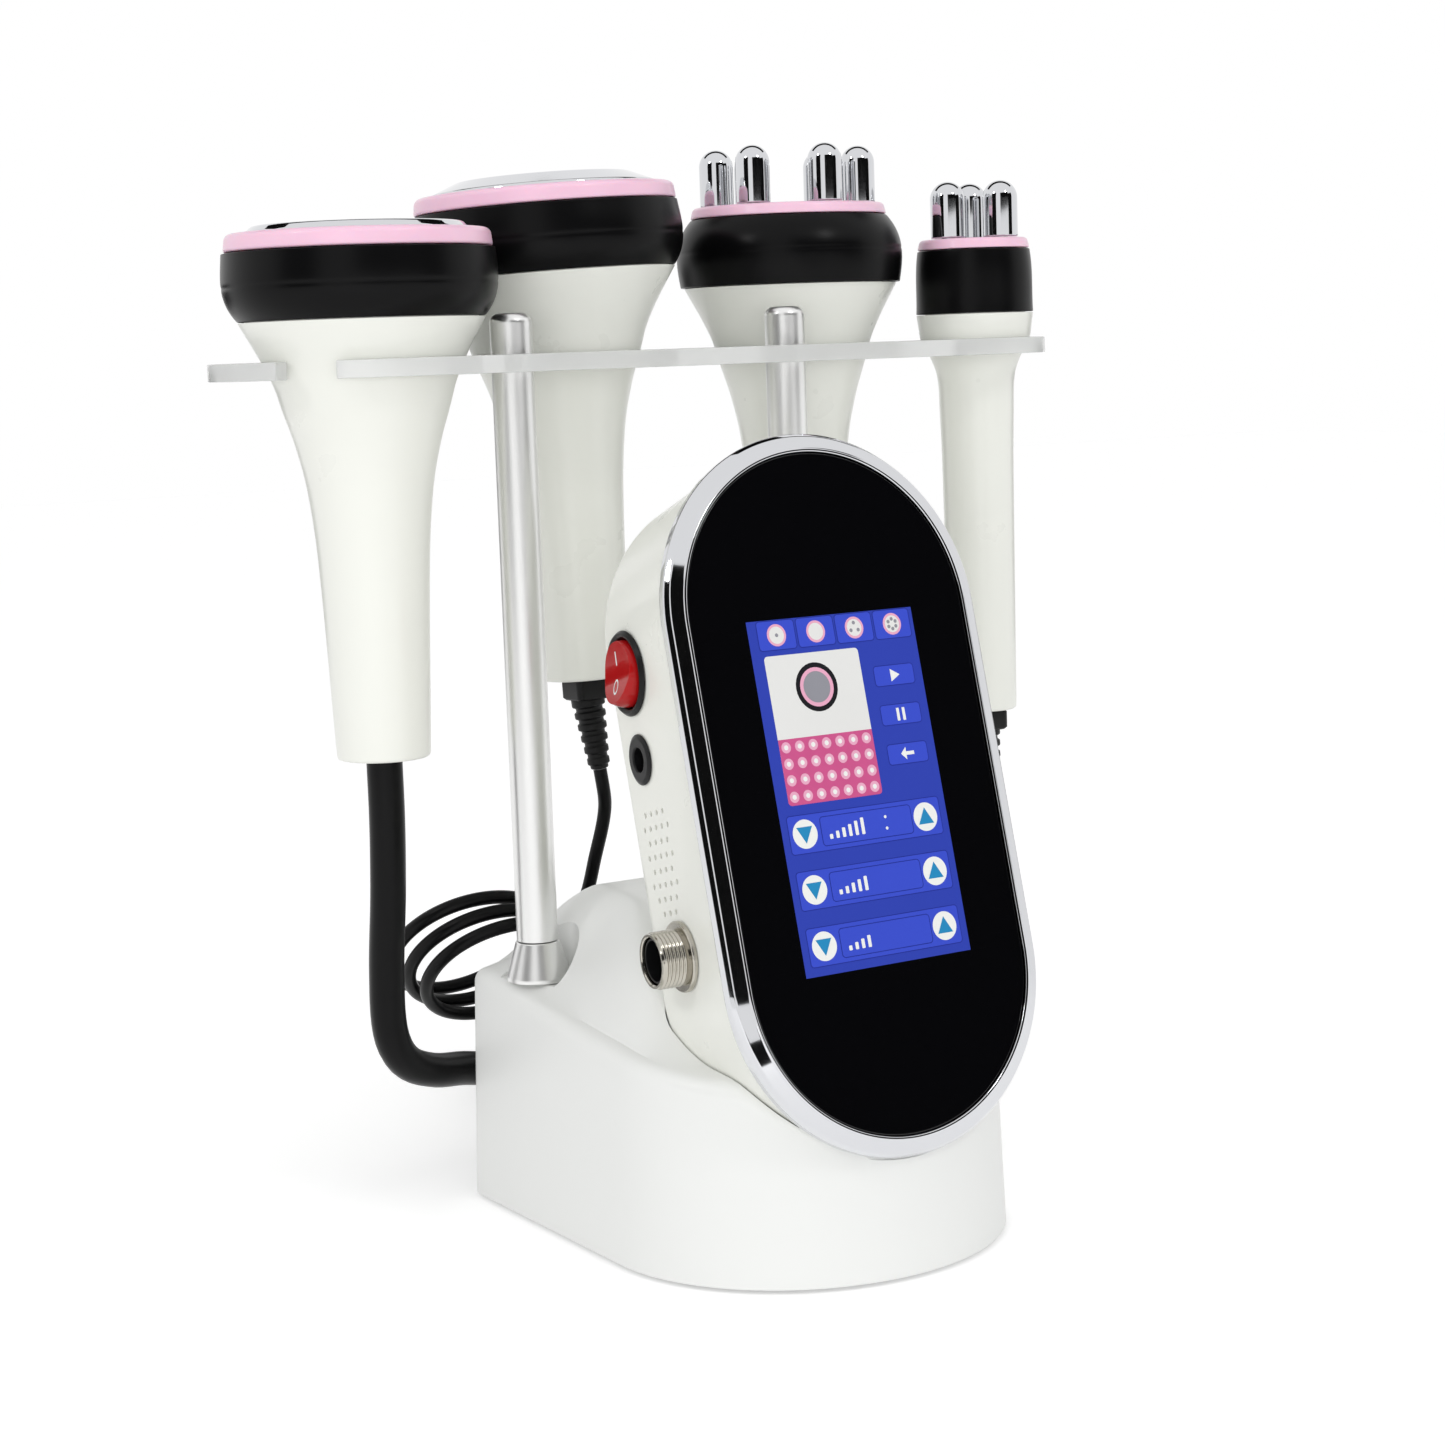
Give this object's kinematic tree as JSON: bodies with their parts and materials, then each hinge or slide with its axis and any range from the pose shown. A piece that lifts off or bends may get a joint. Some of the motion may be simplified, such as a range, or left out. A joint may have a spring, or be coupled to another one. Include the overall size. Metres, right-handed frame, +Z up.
{
  "type": "body slimming machine",
  "caption": "Desktop body care machine: a tilted touch-screen unit cradled in a white moulded base, with round-headed handpieces hanging in a clear plate carried by aluminium rods.",
  "frame": {"origin": "middle of the part's box without its cords, on the surface that it stands on", "axes": "+X to the right seen from the front, +Y to the back, +Z up"},
  "size_m": [0.2786, 0.2863, 0.31],
  "materials": {
    "aluminium": "satin turned",
    "black_glass": "black backed glass",
    "black_plastic": "satin black moulded plastic",
    "black_rubber": "black rubber",
    "brass": "plain brass",
    "chrome": "polished",
    "clear_plastic": "clear acrylic with polished edges",
    "green_board": "coated circuit board",
    "ivory_plastic": "glossy ivory white moulded plastic",
    "pink_plastic": "pearly pink plastic",
    "red_plastic": "translucent red plastic",
    "screen": "lit display",
    "steel": "plain steel",
    "white_plastic": "satin white moulded plastic"
  },
  "bodies": {
    "stand": {"base_cover": "white_plastic", "base_screw_front": "steel", "base_screw_rear": "steel", "base_shell": "white_plastic", "board_carrier": "white_plastic", "body_cord_coil": "black_rubber", "body_cord_gland": "black_plastic", "body_cord_lead": "black_rubber", "body_cord_tail": "black_rubber", "chrome_bezel": "chrome", "cradle_screw": "steel", "dc_jack": "black_plastic", "dc_jack_pin": "steel", "display_panel": "screen", "driver_board": "green_board", "ferrule_left": "aluminium", "ferrule_right": "aluminium", "foot_front_left": "black_rubber", "foot_front_right": "black_rubber", "foot_rear_left": "black_rubber", "foot_rear_right": "black_rubber", "holder_plate": "clear_plastic", "main_board": "green_board", "rocker_bezel": "black_plastic", "rod_left": "aluminium", "rod_right": "aluminium", "socket_insert": "black_plastic", "socket_nut": "steel", "socket_pins": "brass", "socket_shell": "steel", "sonic_cord_coil": "black_rubber", "sonic_cord_gland": "black_plastic", "sonic_cord_lead": "black_rubber", "sonic_cord_tail": "black_rubber", "speaker": "black_plastic", "touch_glass": "black_glass", "unit_rear_shell": "ivory_plastic"},
    "body_handle": {"body_handle_band": "black_plastic", "body_handle_disc": "chrome", "body_handle_gland": "black_rubber", "body_handle_ring": "pink_plastic", "body_handle_shell": "ivory_plastic", "body_handle_transducer": "aluminium"},
    "sonic_handle": {"sonic_handle_band": "black_plastic", "sonic_handle_disc": "chrome", "sonic_handle_ring": "pink_plastic", "sonic_handle_shell": "ivory_plastic", "sonic_handle_strain_relief": "black_rubber", "sonic_handle_transducer": "aluminium"},
    "hexapolar_handle": {"hexapolar_handle_band": "black_plastic", "hexapolar_handle_cap": "pink_plastic", "hexapolar_handle_electrodes": "chrome", "hexapolar_handle_gland": "black_rubber", "hexapolar_handle_shell": "ivory_plastic"},
    "tripolar_handle": {"tripolar_handle_band": "black_plastic", "tripolar_handle_cap": "pink_plastic", "tripolar_handle_electrodes": "chrome", "tripolar_handle_shell": "ivory_plastic", "tripolar_handle_strain_relief": "black_rubber"},
    "rocker": {"rocker_button": "red_plastic"}
  },
  "joints": [
    {"name": "body_handle_lift", "type": "slide", "parent": "stand", "child": "body_handle", "axis": [0, 0, 1], "range_m": [0, 0.22]},
    {"name": "sonic_handle_lift", "type": "slide", "parent": "stand", "child": "sonic_handle", "axis": [0, 0, 1], "range_m": [0, 0.22]},
    {"name": "hexapolar_handle_lift", "type": "slide", "parent": "stand", "child": "hexapolar_handle", "axis": [0, 0, 1], "range_m": [0, 0.22]},
    {"name": "tripolar_handle_lift", "type": "slide", "parent": "stand", "child": "tripolar_handle", "axis": [0, 0, 1], "range_m": [0, 0.22]},
    {"name": "rocker_tip", "type": "hinge", "parent": "stand", "child": "rocker", "pos_m": [-0.06041, -0.0346, 0.16194], "axis": [-0.1167, -0.9618, 0.2477], "range_deg": [0, 20]}
  ]
}
